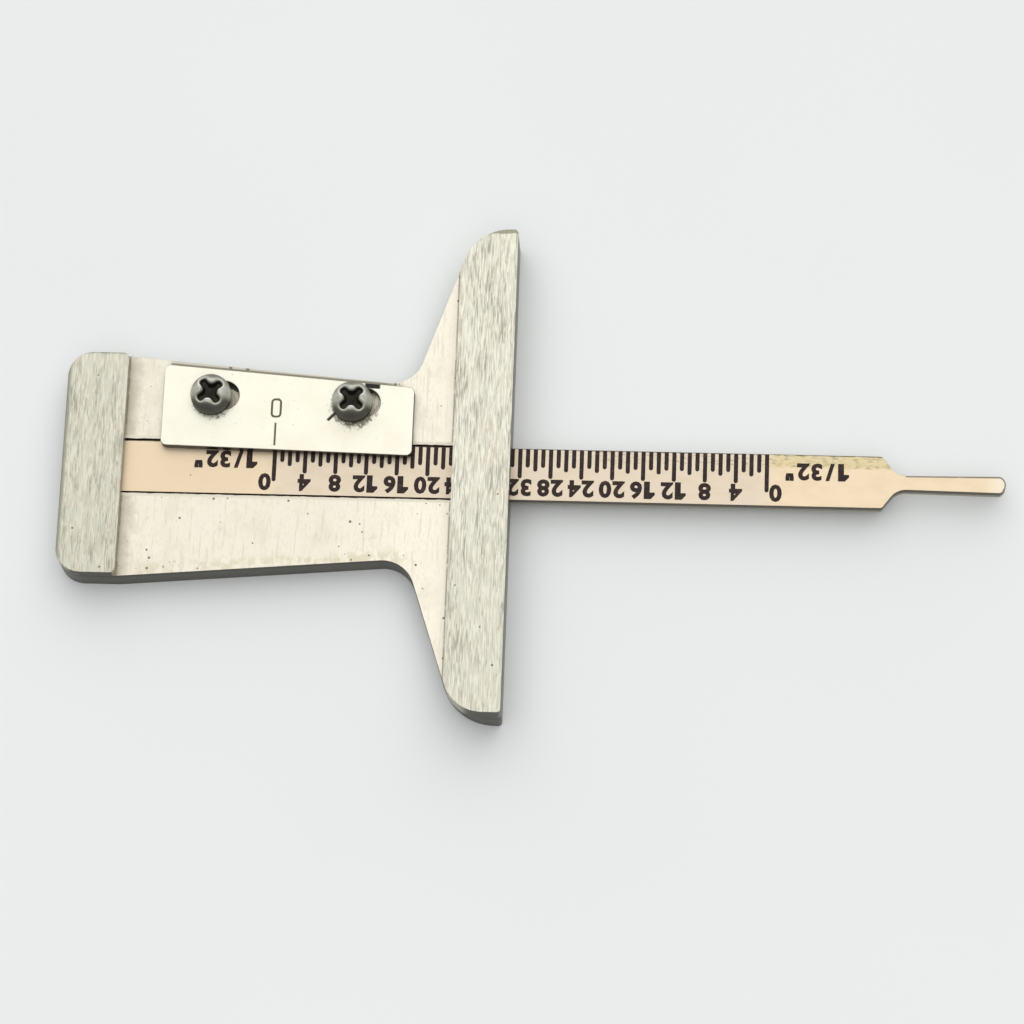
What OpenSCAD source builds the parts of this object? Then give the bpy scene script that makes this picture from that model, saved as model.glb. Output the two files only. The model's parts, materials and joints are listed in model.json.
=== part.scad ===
// Tread depth gauge lying on its back: a T-shaped body with a graduated rule that slides through it.
// X runs along the rule towards the probe tip, Y along the foot and Z up from the back face.
// The foot's measuring face is the plane X = 0 and the rule's axis is Y = 0.
// The rule is drawn at its full extension, resting on its stop.

/* [Body plate] */
// Thickness of the body plate
plate_t = 3.1; // [2.6:0.1:4]
// Length from the measuring face to the rear face
body_l = 46.4; // [42:0.1:60]
// Width of the stem under the rear bar
stem_rear_w = 23.9; // [21:0.1:30]
// Width of the stem at the throat corners, before they are filleted
stem_throat_w = 18.8; // [17:0.1:21]
// Distance from the measuring face to the throat corners
throat_x = 10.4; // [9:0.1:13]
// Fillet radius of the throat corners
throat_r = 3.4; // [1:0.1:5]
// Radius of the two rear corners of the stem
rear_corner_r = 2.7; // [0.5:0.1:4]

/* [Foot] */
// Length of the foot along its measuring face
foot_l = 52; // [44:0.5:70]
// Width of the raised foot bar
foot_w = 5.9; // [5:0.1:7.5]
// Thickness of the foot bar on top of the plate
foot_bar_t = 2.5; // [1.5:0.1:4]
// Width left at each end of the plate's foot, before its inner corner is rounded
foot_tip_w = 4.8; // [4:0.1:5.5]
// Radius of the inner corner at each end of the plate's foot
foot_end_r = 5.5; // [1:0.1:5.5]
// Width left at the foot bar's end on the index plate's side, before its inner corner is rounded
bar_tip_index_w = 4.25; // [4:0.05:5.5]
// Radius of that corner
bar_end_index_r = 5; // [1:0.1:5]
// Width left at the foot bar's other end, before its inner corner is rounded
bar_tip_other_w = 4.8; // [4:0.05:5.5]
// Radius of that corner
bar_end_other_r = 4; // [1:0.1:5]
// Radius of the measuring face's two corners
foot_nose_r = 0.4; // [0.1:0.1:1]
// Chamfer along the foot bar's long top edges
foot_edge = 0.25; // [0.1:0.05:0.6]

/* [Rear bar] */
// Width of the raised rear bar
rear_bar_w = 6.3; // [5:0.1:8]
// Thickness of the rear bar on top of the plate
rear_bar_t = 1.2; // [1:0.1:2.5]
// Radius of the rear bar's two inner corners
rear_inner_r = 0.6; // [0.2:0.1:1.5]
// Radius of the rear bar's outer top edge
rear_edge_r = 0.5; // [0.2:0.05:0.9]

/* [Rule] */
// Width of the rule
rule_w = 5.55; // [4.5:0.05:7]
// Thickness of the rule
rule_t = 1.4; // [1:0.1:1.8]
// Stroke from the tip flush with the measuring face to full extension: two inches
travel = 50.8; // [40:0.1:65]
// Length of the narrow probe from the rule's shoulder to its tip
probe_l = 12.65; // [8:0.05:20]
// Width of the probe
probe_w = 1.5; // [1:0.1:2.5]
// Length over which the shoulder slants down to the probe
shoulder_l = 1.5; // [0.8:0.1:3]
// Fillet between the shoulder and the probe
shoulder_r = 2; // [0.5:0.1:2.4]
// Radius of the rule's outer corners
rule_corner_r = 0.4; // [0.1:0.1:0.8]
// Distance of the rule's tail inside the rear face at full extension
tail_inset = 0.4; // [0.2:0.1:1]
// Gap between each edge of the rule and its groove
side_gap = 0.15; // [0.05:0.01:0.25]
// Gap under and over the rule in its groove
float_gap = 0.05; // [0.03:0.01:0.1]

/* [Stop pin] */
// Diameter of the pin that stops the rule at full extension
stop_d = 1.6; // [1:0.1:2.4]
// Distance of the pin from the rule's tail
stop_inset = 2.5; // [1.5:0.1:4]
// How far the pin stands down into the groove's floor
stop_drop = 0.6; // [0.3:0.05:0.8]
// Thickness of rule left above the pin
stop_cover = 0.4; // [0.2:0.05:0.6]

/* [Index plate] */
// Thickness of the index plate
index_t = 1; // [0.6:0.1:2]
// Distance between the foot bar and the index plate
index_front_gap = 4.3; // [2.5:0.1:6]
// Distance between the rear bar and the index plate
index_rear_gap = 3.8; // [2.5:0.1:6]
// How far the index plate laps over the rule at its rear end
index_lap_rear = 0.75; // [0.4:0.05:2]
// How far the index plate laps over the rule at its front end
index_lap_front = 1.35; // [0.4:0.05:2]
// Distance of the index plate's far edge inside the stem's edge
index_inset = 0.85; // [0.3:0.05:1.2]
// Corner radius of the index plate
index_r = 0.6; // [0.3:0.1:2]
// Width of the adjusting slots
slot_w = 3.1; // [2.6:0.1:3.4]
// Length of the adjusting slots between the centres of their ends
slot_play = 1.35; // [0.6:0.05:2]
// Distance of each slot's middle from the nearer end of the index plate
slot_inset = 5.7; // [4.5:0.1:7]
// How far the slots lie off the middle of their screws, towards the stem's edge
slot_rise = 0.15; // [0:0.05:0.2]
// Gap over and under the index plate, which slides when its screws are slackened
seat_gap = 0.02; // [0.01:0.01:0.05]

/* [Screws] */
// Diameter of the screws' pan heads
head_d = 4.2; // [3.9:0.02:5]
// Height of the heads
head_h = 2.05; // [1.8:0.05:2.4]
// Radius of the round between the straight rim and the flat crown of the heads
head_round_r = 1.3; // [0.5:0.05:1.4]
// Diameter of the threaded shanks
thread_d = 2.18; // [1.8:0.02:2.4]
// Distance of the rear screw from the index plate's far edge
screw_edge_rear = 2.95; // [2.15:0.05:3.55]
// Distance of the front screw from the index plate's far edge
screw_edge_front = 2.15; // [2.05:0.05:2.75]
// Distance of the screws' ends inside the back face
screw_recess = 0.3; // [0.1:0.05:0.8]
// Length of the cross recess over two opposite arms
cross_l = 2.7; // [2:0.1:3]
// Width of each arm of the cross recess
cross_w = 0.75; // [0.4:0.05:0.8]
// Depth of the cross recess
cross_depth = 1; // [0.6:0.05:1.2]
// Turn of the rear screw's cross recess, in degrees
cross_turn_rear = 40; // [0:1:90]
// Turn of the front screw's cross recess, in degrees
cross_turn_front = 47; // [0:1:90]

/* [Rivets] */
// Diameter of the rivets that hold the two bars
rivet_d = 2; // [1.5:0.1:2.4]
// Diameter of the rivets' countersunk heads at the back face
rivet_head_d = 3.4; // [2.8:0.1:4]
// Depth of the countersinks
rivet_head_h = 0.7; // [0.4:0.05:1]
// Thickness of bar left over the end of a rivet
rivet_cover = 0.5; // [0.3:0.05:0.8]
// Distance of the foot's outer rivets from its ends
foot_rivet_edge = 6; // [5:0.1:8]
// Distance of the foot's inner rivets from the rule's groove
foot_rivet_gap = 6; // [3:0.1:7]
// Distance of the rear bar's rivets from its ends
rear_rivet_edge = 4; // [3:0.1:5]
// Radial gap of a rivet, pin or screw in its hole
fit_gap = 0.02; // [0.01:0.01:0.05]

/* [Friction spring] */
// Length of the bow spring along the rule
spring_l = 13; // [9:0.1:14]
// Thickness of the spring strip
spring_t = 0.25; // [0.15:0.05:0.4]
// Rise of the bow
spring_bow = 0.85; // [0.5:0.05:1.4]
// Room in the pocket beyond each end of the spring
spring_room = 0.6; // [0.3:0.1:1]

/* [Hidden] */
$fn = 96;
// How far a cutting tool runs past the face that it cuts
past = 0.5;
// Facets of the spring's wide circles, of which only a short arc is kept
spring_fn = 360;
// Flat left between the two round corners of the probe's tip
tip_flat = 0.01;
// Radius of a turn that is too slight to need one, where the stem's taper starts
soft_r = 1;

// Colours
plate_colour = [0.90, 0.87, 0.80];
bar_colour = [0.74, 0.73, 0.67];
rule_colour = [0.93, 0.83, 0.72];
index_colour = [0.97, 0.95, 0.89];
screw_colour = [0.25, 0.25, 0.24];
rivet_colour = [0.70, 0.69, 0.66];
spring_colour = [0.45, 0.46, 0.50];

// Half widths and places along X
rear_hw = stem_rear_w / 2;
throat_hw = stem_throat_w / 2;
foot_hl = foot_l / 2;
bar_front_x = -(body_l - rear_bar_w);
index_rear_x = bar_front_x + index_rear_gap;
index_front_x = -(foot_w + index_front_gap);
slot_x = [index_rear_x + slot_inset, index_front_x - slot_inset];
// At rest the screws stand at the rear ends of their slots
screw_x = [for (x = slot_x) x - slot_play / 2];
screw_y = [index_edge(screw_x[0]) - screw_edge_rear, index_edge(screw_x[1]) - screw_edge_front];
cross_turn = [cross_turn_rear, cross_turn_front];
tail_x = -body_l + tail_inset;
shoulder_x = travel - probe_l;
stop_x = tail_x + stop_inset;
spring_x = (screw_x[0] + screw_x[1]) / 2;

// Heights
groove_hw = rule_w / 2 + side_gap;
floor_z = plate_t - rule_t - 2 * float_gap;
rule_z = floor_z + float_gap;
index_z = plate_t + seat_gap;
head_z = index_z + index_t + seat_gap;

// The bow spring: an arc whose crown meets the rule and whose ends meet the pocket's far wall
spring_r = (pow(spring_l / 2, 2) + pow(spring_bow, 2)) / (2 * spring_bow);
spring_crown_y = rule_w / 2 + float_gap;
spring_end_y = spring_crown_y + spring_bow + spring_t;
pocket_y = spring_end_y + float_gap;

// Half width of the tapered stem at a place along X
function stem_edge(x) =
    throat_hw + (rear_hw - throat_hw) * (-throat_x - x) / (-throat_x - bar_front_x);
// Far edge of the index plate, which follows the stem's taper
function index_edge(x) = stem_edge(x) - index_inset;

// Corners of outlines are [x, y, radius], counter-clockwise
function place(corners, i) = let (c = corners[(i + len(corners)) % len(corners)]) [c.x, c.y];
function way(a, b) = (b - a) / norm(b - a);
function left_of(v) = [-v.y, v.x];
// Where a fillet starts, its corner, where it ends and its centre
function fillet(corners, i) =
    let (v = place(corners, i),
         into = way(place(corners, i - 1), v),
         out = way(v, place(corners, i + 1)),
         r = corners[i].z,
         reach = r * tan(acos(into * out) / 2),
         start = v - into * reach,
         side = sign(cross(into, out)))
    [start, v, v + out * reach, start + side * r * left_of(into), side];

// An outline whose corners, both outward and inward ones, are rounded with true arcs
module rounded_outline(corners) {
    fillets = [for (i = [0 : len(corners) - 1]) fillet(corners, i)];
    difference() {
        union() {
            polygon([for (f = fillets) each [f[0], f[2]]]);
            for (i = [0 : len(corners) - 1])
                if (fillets[i][4] > 0)
                    fillet_sector(fillets[i], corners[i].z);
        }
        for (i = [0 : len(corners) - 1])
            if (fillets[i][4] < 0)
                fillet_sector(fillets[i], corners[i].z);
    }
}

// The slice of a fillet's circle that lies in its corner
module fillet_sector(f, r) {
    intersection() {
        translate(f[3])
            circle(r);
        polygon([f[3], f[0], f[1], f[2]]);
    }
}

// Corners on the index plate's side of the axis, then those of the other side, mirrored
function two_sides(upper, lower) = concat(upper, [for (i = [len(lower) - 1 : -1 : 0])
                                                  [lower[i].x, -lower[i].y, lower[i].z]]);
function both_sides(upper) = two_sides(upper, upper);

// One side of the T-shaped outline, with a foot that ends in a tip of the given width and inner corner
function body_side(tip_w, end_r) = [
    [0, foot_hl, foot_nose_r],
    [-tip_w, foot_hl, end_r],
    [-throat_x, throat_hw, throat_r],
    [bar_front_x, rear_hw, soft_r],
    [-body_l, rear_hw, rear_corner_r]];

// The plate's outline from above
module body_outline() {
    rounded_outline(both_sides(body_side(foot_tip_w, foot_end_r)));
}

// The foot bar's outline: a body outline with ground ends, cut off at the bar's width
module foot_bar_outline() {
    intersection() {
        rounded_outline(two_sides(body_side(bar_tip_index_w, bar_end_index_r),
                                  body_side(bar_tip_other_w, bar_end_other_r)));
        translate([-foot_w, -foot_l])
            square([foot_w + past, 2 * foot_l]);
    }
}

// The outline of the rule from its tail to the tip of its probe
module rule_outline() {
    tip_r = (probe_w - tip_flat) / 2;
    rounded_outline(both_sides([
        [travel, probe_w / 2, tip_r],
        [shoulder_x + shoulder_l, probe_w / 2, shoulder_r],
        [shoulder_x, rule_w / 2, rule_corner_r],
        [tail_x, rule_w / 2, rule_corner_r]]));
}

module slot_outline(length, width) {
    union() {
        square([length, width], center = true);
        for (side = [-1, 1])
            translate([side * length / 2, 0])
                circle(d = width);
    }
}

// The slotted index plate from above
module index_outline() {
    difference() {
        rounded_outline([
            [index_front_x, rule_w / 2 - index_lap_front, index_r],
            [index_front_x, index_edge(index_front_x), index_r],
            [index_rear_x, index_edge(index_rear_x), index_r],
            [index_rear_x, rule_w / 2 - index_lap_rear, index_r]]);
        for (i = [0, 1])
            translate([slot_x[i], screw_y[i] + slot_rise])
                slot_outline(slot_play, slot_w);
    }
}

// A cutter that takes a chamfer off an edge that runs along Y at X = 0, Z = 0
module edge_cutter(size, length) {
    rotate([0, 45, 0])
        cube([size * sqrt(2), length, size * sqrt(2)], center = true);
}

// A cutter that leaves a round of radius r on an edge along Y at X = 0, Z = 0, facing -X and +Z
module round_cutter(r, length) {
    difference() {
        translate([-past, -length / 2, -r])
            cube([r + past, length, r + past]);
        translate([r, 0, -r])
            rotate([90, 0, 0])
                cylinder(r = r, h = length + 2 * past, center = true);
    }
}

// Rivet places: the foot's four, then the rear bar's two
foot_rivet_y = [foot_hl - foot_rivet_edge, groove_hw + foot_rivet_gap];
rivet_places = [for (y = [foot_rivet_y[0], foot_rivet_y[1], -foot_rivet_y[1], -foot_rivet_y[0]])
                    [-foot_w / 2, y, foot_bar_t],
                for (side = [1, -1])
                    [-body_l + rear_bar_w / 2, side * (rear_hw - rear_rivet_edge), rear_bar_t]];

// A rivet with its countersunk head flush with the back face, or its hole if grown by a gap
module rivet_shape(bar_t, gap) {
    union() {
        cylinder(d = rivet_d + 2 * gap, h = plate_t + bar_t - rivet_cover + gap);
        cylinder(d1 = rivet_head_d + 2 * gap, d2 = rivet_d + 2 * gap, h = rivet_head_h);
    }
}

module rivet_holes() {
    for (p = rivet_places)
        translate([p.x, p.y, 0])
            rivet_shape(p.z, fit_gap);
}

module body_plate() {
    color(plate_colour)
        difference() {
            linear_extrude(plate_t)
                body_outline();
            // Groove for the rule, open at the top and at both ends
            translate([-body_l - past, -groove_hw, floor_z])
                cube([body_l + 2 * past, 2 * groove_hw, plate_t]);
            stop_notch();
            spring_pocket();
            for (i = [0, 1])
                translate([screw_x[i], screw_y[i], -past])
                    cylinder(d = thread_d + 2 * fit_gap, h = plate_t + 2 * past);
            rivet_holes();
        }
}

// Notch in the groove's floor, open to the rear, whose closed end stops the pin
module stop_notch() {
    notch_w = stop_d + 2 * side_gap;
    end_x = stop_x + stop_d / 2 + float_gap;
    translate([0, 0, rule_z - stop_drop - float_gap])
        linear_extrude(plate_t) {
            translate([end_x - notch_w / 2, 0])
                circle(d = notch_w);
            translate([-body_l - past, -notch_w / 2])
                square([body_l + past + end_x - notch_w / 2, notch_w]);
        }
}

// Pocket beside the groove, under the index plate
module spring_pocket() {
    pocket_l = spring_l + 2 * spring_room;
    translate([spring_x - pocket_l / 2, 0, floor_z])
        cube([pocket_l, pocket_y, plate_t]);
}

module foot_bar() {
    color(bar_colour)
        difference() {
            translate([0, 0, plate_t])
                linear_extrude(foot_bar_t)
                    foot_bar_outline();
            for (x = [-foot_w, 0])
                translate([x, 0, plate_t + foot_bar_t])
                    edge_cutter(foot_edge, 2 * foot_l);
            rivet_holes();
        }
}

module rear_bar() {
    color(bar_colour)
        difference() {
            translate([0, 0, plate_t])
                linear_extrude(rear_bar_t)
                    rounded_outline(both_sides([
                        [bar_front_x, rear_hw, rear_inner_r],
                        [-body_l, rear_hw, rear_corner_r]]));
            translate([-body_l, 0, plate_t + rear_bar_t])
                round_cutter(rear_edge_r, 2 * stem_rear_w);
            rivet_holes();
        }
}

module rivet(number) {
    p = rivet_places[number];
    color(rivet_colour)
        translate([p.x, p.y, 0])
            rivet_shape(p.z, 0);
}

module depth_rule() {
    color(rule_colour)
        difference() {
            translate([0, 0, rule_z])
                linear_extrude(rule_t)
                    rule_outline();
            translate([stop_x, 0, rule_z - past])
                cylinder(d = stop_d + 2 * fit_gap, h = rule_t - stop_cover + past);
        }
}

module stop_pin() {
    color(rivet_colour)
        translate([stop_x, 0, rule_z - stop_drop])
            cylinder(d = stop_d, h = stop_drop + rule_t - stop_cover);
}

module index_plate() {
    color(index_colour)
        translate([0, 0, index_z])
            linear_extrude(index_t)
                index_outline();
}

// A pan-head screw with a cross recess: 0 is the rear one and 1 the front one
module index_screw(number) {
    color(screw_colour)
        translate([screw_x[number], screw_y[number], 0])
            difference() {
                union() {
                    translate([0, 0, screw_recess])
                        cylinder(d = thread_d, h = head_z - screw_recess + past);
                    translate([0, 0, head_z])
                        rotate_extrude()
                            pan_head_profile();
                }
                for (turn = [0, 90])
                    translate([0, 0, head_z + head_h - cross_depth])
                        rotate([0, 0, cross_turn[number] + turn])
                            translate([-cross_l / 2, -cross_w / 2, 0])
                                cube([cross_l, cross_w, cross_depth + past]);
            }
}

// Half of a pan head: a straight rim, a round shoulder and a flat crown
module pan_head_profile() {
    head_r = head_d / 2;
    crown_r = head_r - head_round_r;
    rim_h = head_h - head_round_r;
    union() {
        square([head_r, rim_h]);
        square([crown_r, head_h]);
        translate([crown_r, rim_h])
            intersection() {
                circle(head_round_r);
                square(head_r);
            }
    }
}

module friction_spring() {
    centre_y = spring_crown_y + spring_t + spring_r;
    color(spring_colour)
        translate([spring_x, 0, rule_z])
            linear_extrude(rule_t)
                intersection() {
                    translate([0, centre_y])
                        difference() {
                            circle(spring_r + spring_t, $fn = spring_fn);
                            circle(spring_r, $fn = spring_fn);
                        }
                    translate([-spring_l / 2, spring_crown_y - past])
                        square([spring_l, spring_end_y - spring_crown_y + past]);
                }
}

body_plate();
foot_bar();
rear_bar();
rivet(0);  // foot_rivet_1
rivet(1);  // foot_rivet_2
rivet(2);  // foot_rivet_3
rivet(3);  // foot_rivet_4
rivet(4);  // rear_rivet_1
rivet(5);  // rear_rivet_2
depth_rule();
stop_pin();
index_plate();
index_screw(0);  // index_screw_rear
index_screw(1);  // index_screw_front
friction_spring();
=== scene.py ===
"""A tread depth gauge lying on a pale table: its finishes, its printed scale, the light and the camera."""

import json
import math

import bmesh
import bpy
from mathutils import Matrix, Vector


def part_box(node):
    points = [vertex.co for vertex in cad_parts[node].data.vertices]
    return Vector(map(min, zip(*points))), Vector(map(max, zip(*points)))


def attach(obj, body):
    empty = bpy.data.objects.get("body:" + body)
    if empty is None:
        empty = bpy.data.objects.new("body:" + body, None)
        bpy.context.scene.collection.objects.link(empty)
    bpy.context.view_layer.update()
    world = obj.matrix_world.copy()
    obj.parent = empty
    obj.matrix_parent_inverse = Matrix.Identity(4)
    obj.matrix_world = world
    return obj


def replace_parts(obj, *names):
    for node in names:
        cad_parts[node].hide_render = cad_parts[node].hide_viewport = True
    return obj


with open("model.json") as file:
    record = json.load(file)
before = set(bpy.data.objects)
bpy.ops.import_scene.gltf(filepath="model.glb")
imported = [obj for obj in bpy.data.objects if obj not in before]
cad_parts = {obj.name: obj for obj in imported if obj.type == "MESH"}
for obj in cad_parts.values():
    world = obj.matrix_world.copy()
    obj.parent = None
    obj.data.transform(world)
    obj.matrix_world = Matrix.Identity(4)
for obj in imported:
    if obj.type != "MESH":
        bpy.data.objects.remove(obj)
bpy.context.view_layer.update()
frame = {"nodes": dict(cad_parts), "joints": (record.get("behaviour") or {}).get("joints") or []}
MM = 0.001

# Camera: where it stands, what it looks at, how far it is rolled, its lens and the nearest that it sees
CAMERA_PLACE = Vector((20.545, -126.953, 394.455)) * MM
CAMERA_AIM = Vector((0.152, -3.138, 0.0)) * MM
CAMERA_ROLL = math.radians(-7.6)
CAMERA_LENS_MM = 140.625
CAMERA_SENSOR_MM = 36
CAMERA_NEAR = 10 * MM

# Light: a dome that is bright overhead and towards +Y, and dims to both sides and behind the camera
LIGHT_WAY = (0.0, 0.5, 0.86)
DOME_DIM = 0.14
DOME_BRIGHT = 1.5
DOME_FADE = (-0.25, 0.75)
DOME_SIDE = 1.0

# Scoured steel: how metallic it is, and how bright the dome makes it where it lies flat
STEEL_METAL = 0.5
STEEL_SHOWN = 1.19

# How far up a face looks, from 1 on top to 0 on a side, where a side's painted light and shade sets in and
# where it is full
SIDE_UP = (0.6, 0.3)
RULE_SIDE_UP = (0.5, 0.2)

# Sockets of a mix node that share their names with others: the two inputs and the result
MIX_SOCKETS = {"RGBA": (6, 7, 2), "VECTOR": (4, 5, 1)}

# Table top: its size in metres, and that of its clouds in millimetres
FLOOR_SIZE = 2.0
FLOOR_CLOUDS_MM = 60.0

# Edges of the plates and bars: what is welded and flattened first, which edges are sharp, and their rounding
WELD = 0.001 * MM
FLAT_ANGLE = math.radians(1)
SHARP_ANGLE = math.radians(30)
EDGE_STEPS = 4
EDGE_PROFILE = 0.5
PLATE_ROUND = 0.2 * MM
FOOT_ROUND = 0.12 * MM
REAR_ROUND = 0.3 * MM
RULE_ROUND = 0.15 * MM
INDEX_ROUND = 0.12 * MM

# Printed scale on the rule: thirty-seconds of an inch, counted from both zeros to the middle
INK_T = 0.02 * MM
INK_WELD = WELD / 10
TRAVEL = -frame["joints"][0]["range_m"][0]
DIVISIONS = 64
DIVISION = TRAVEL / DIVISIONS
INDEX_LINE_OFFSET = -1.2 * MM
TICK_W = 0.43 * MM
TICK_EDGE = 0.04 * MM
TICK_SHORT = 2.0 * MM
TICK_MEDIUM = 2.42 * MM
TICK_LONG = 3.18 * MM
TICK_ZERO = 4.1 * MM
TICK_END_STEPS = 6
NUMBER_STEP = 4
DIGIT_W = 1.3 * MM
DIGIT_H = 1.88 * MM
DIGIT_PITCH = 1.38 * MM
DIGIT_BASE_Y = -0.49 * MM
ZERO_SHIFT = 0.92 * MM
LABEL = '1/32"'
LABEL_BASE_Y = 1.88 * MM
LABEL_GAP = 1.65 * MM

# Characters before they are scaled: the font's in its own units, and the one in shares of its height
GLYPH_HALF_T = 0.5
DIGIT_BOLD = 0.045
DIGIT_CURVE_STEPS = 3
ONE_STEM_W = 0.31
ONE_FLAG = ((-0.27, 0.62), (-0.27, 0.76), (-0.06, 1.0))

# Mark on the index plate: a line and a nought, measured from the rule's axis
MARK_LINE_W = 0.2 * MM
MARK_LINE_FROM = 2.2 * MM
MARK_LINE_TO = 4.65 * MM
MARK_ZERO_W = 1.13 * MM
MARK_ZERO_H = 2.1 * MM
MARK_ZERO_R = 0.45 * MM
MARK_ZERO_Y = 6.26 * MM
MARK_STROKE = 0.22 * MM
MARK_CORNER_STEPS = 8

# Screws: pan heads with a cross recess
SCREWS = ("index_screw_rear", "index_screw_front")
HEAD_H = 2.05 * MM
HEAD_ROUND_R = 1.3 * MM
HEAD_SEAT_ROUND = 0.06 * MM
SHANK_R = 1.09 * MM
SHANK_CHAMFER = 0.25 * MM
SCREW_STEPS = 144
CROWN_STEPS = 16
ROUND_STEPS = 40
RECESS_REACH = 1.52 * MM
RECESS_W = 0.86 * MM
RECESS_END_R = 0.36 * MM
RECESS_CORE_R = 0.8 * MM
RECESS_PETAL_R = 0.22 * MM
RECESS_DEPTH = 1.25 * MM
RECESS_TIP_DEPTH = 0.6 * MM
RECESS_WALL_SLOPE = 4.0
RECESS_LIP = 0.1 * MM
RECESS_TURN = {"index_screw_rear": math.radians(38), "index_screw_front": math.radians(46)}

# The index plate's slots from above, in millimetres: how far their front ends are ahead of the screws, and
# how far their rims are from their middle lines at most
SLOT_PLAY = 1.35
SLOT_REACH = 1.85

# The index plate's far edge from above, in millimetres: how far it lies inside the stem's edge, how far its
# rear and front ends move out, how deep its corners are, where crumbs of dirt lie behind it, and the two
# directions in which its corners are the places furthest out
INDEX_INSET = 0.85
FAR_EDGE_SHIFT = (0.05, 0.29)
FAR_EDGE_DEPTH = 0.65
FAR_EDGE_DIRT = ((-29.55, 10.95), (-27.75, 10.85), (-12.3, 9.45))
FAR_CORNER_WAYS = (Vector((-1.0, 4.0)), Vector((1.0, 4.0)))

# Where tones set in on the pieces, in millimetres: each fades in from the first place to the second
# painted light: the plate's top lightened towards the foot bar, where the bar shades it
PLATE_LIT_X = (-20.0, -9.0)
# painted shade on the plate's sides that face -Y, darkest towards their top
PLATE_SIDE_SHADE_Z = (2.0, 2.9)
STEM_STAIN_X = (-9.0, -12.0)
BAR_DIM_Y = (2.0, -16.0)
RULE_SCUFF_X = (0.0, 12.0)
PROBE_OUTLINE_Y = (-0.5, 0.1)

# Boxes of the frame's pieces, the rule's groove and probe, and where the index line and the scale's zero lie
RULE_LOW, RULE_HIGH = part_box("depth_rule")
INDEX_LOW, INDEX_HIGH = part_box("index_plate")
FOOT_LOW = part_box("foot_bar")[0]
REAR_LOW, REAR_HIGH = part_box("rear_bar")
PLATE_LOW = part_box("body_plate")[0]
RULE_GAP = 0.15 * MM
GROOVE_HALF = RULE_HIGH.y + RULE_GAP
PROBE_R = 0.75 * MM
PROBE_L = 10.3 * MM
PROBE_FLARE = 0.17
INDEX_LINE_X = (INDEX_LOW.x + INDEX_HIGH.x) / 2 + INDEX_LINE_OFFSET
ZERO_X = INDEX_LINE_X + TRAVEL


def shown(red, green, blue):
    """A colour as it shows on a screen, from 0 to 255 on the sRGB curve, as the shaders take it."""
    def linear(byte):
        part = byte / 255
        return part / 12.92 if part <= 0.04045 else ((part + 0.055) / 1.055) ** 2.4
    return (linear(red), linear(green), linear(blue), 1.0)


def steel(red, green, blue):
    """The colour of scoured steel that shows this way on a face that lies flat."""
    return (*(part / STEEL_SHOWN for part in shown(red, green, blue)[:3]), 1.0)


class NodeTree:
    """Shader nodes being put together."""

    def __init__(self, tree):
        self.tree = tree

    def node(self, kind, **settings):
        """Adds a node with these settings."""
        node = self.tree.nodes.new(kind)
        for name, value in settings.items():
            setattr(node, name, value)
        return node

    def feed(self, socket, value):
        """Gives a socket a constant, or another node's output."""
        if isinstance(value, bpy.types.NodeSocket):
            self.tree.links.new(value, socket)
        else:
            socket.default_value = value

    def parts(self, vector):
        """The X, Y and Z of a vector."""
        node = self.node("ShaderNodeSeparateXYZ")
        self.feed(node.inputs[0], vector)
        return node.outputs

    def math(self, operation, *values):
        """The result of an operation on constants or outputs."""
        node = self.node("ShaderNodeMath", operation=operation)
        for socket, value in zip(node.inputs, values):
            self.feed(socket, value)
        return node.outputs[0]

    def sum(self, *terms):
        """Sum of inputs, each with its weight."""
        total = self.math("MULTIPLY", *terms[0])
        for term in terms[1:]:
            total = self.math("MULTIPLY_ADD", *term, total)
        return total

    def all(self, first, *others):
        """1 where every mask is 1."""
        for other in others:
            first = self.math("MULTIPLY", first, other)
        return first

    def fade(self, value, start, end, low=0.0, high=1.0):
        """Low up to start, high from end on, and a smooth step between them. End may be below start."""
        rising = end > start
        node = self.node("ShaderNodeMapRange", interpolation_type="SMOOTHSTEP")
        self.feed(node.inputs["Value"], value)
        node.inputs["From Min"].default_value = min(start, end)
        node.inputs["From Max"].default_value = max(start, end)
        node.inputs["To Min"].default_value = low if rising else high
        node.inputs["To Max"].default_value = high if rising else low
        return node.outputs["Result"]

    def between(self, value, low, high, soft):
        """1 between two limits, with soft ends."""
        return self.all(self.fade(value, low - soft, low + soft), self.fade(value, high + soft, high - soft))

    def mix(self, kind, share, first, second):
        """Blends two colours or two vectors by the second one's share."""
        to_first, to_second, result = MIX_SOCKETS[kind]
        node = self.node("ShaderNodeMix", data_type=kind)
        self.feed(node.inputs["Factor"], share)
        self.feed(node.inputs[to_first], first)
        self.feed(node.inputs[to_second], second)
        return node.outputs[result]


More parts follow.
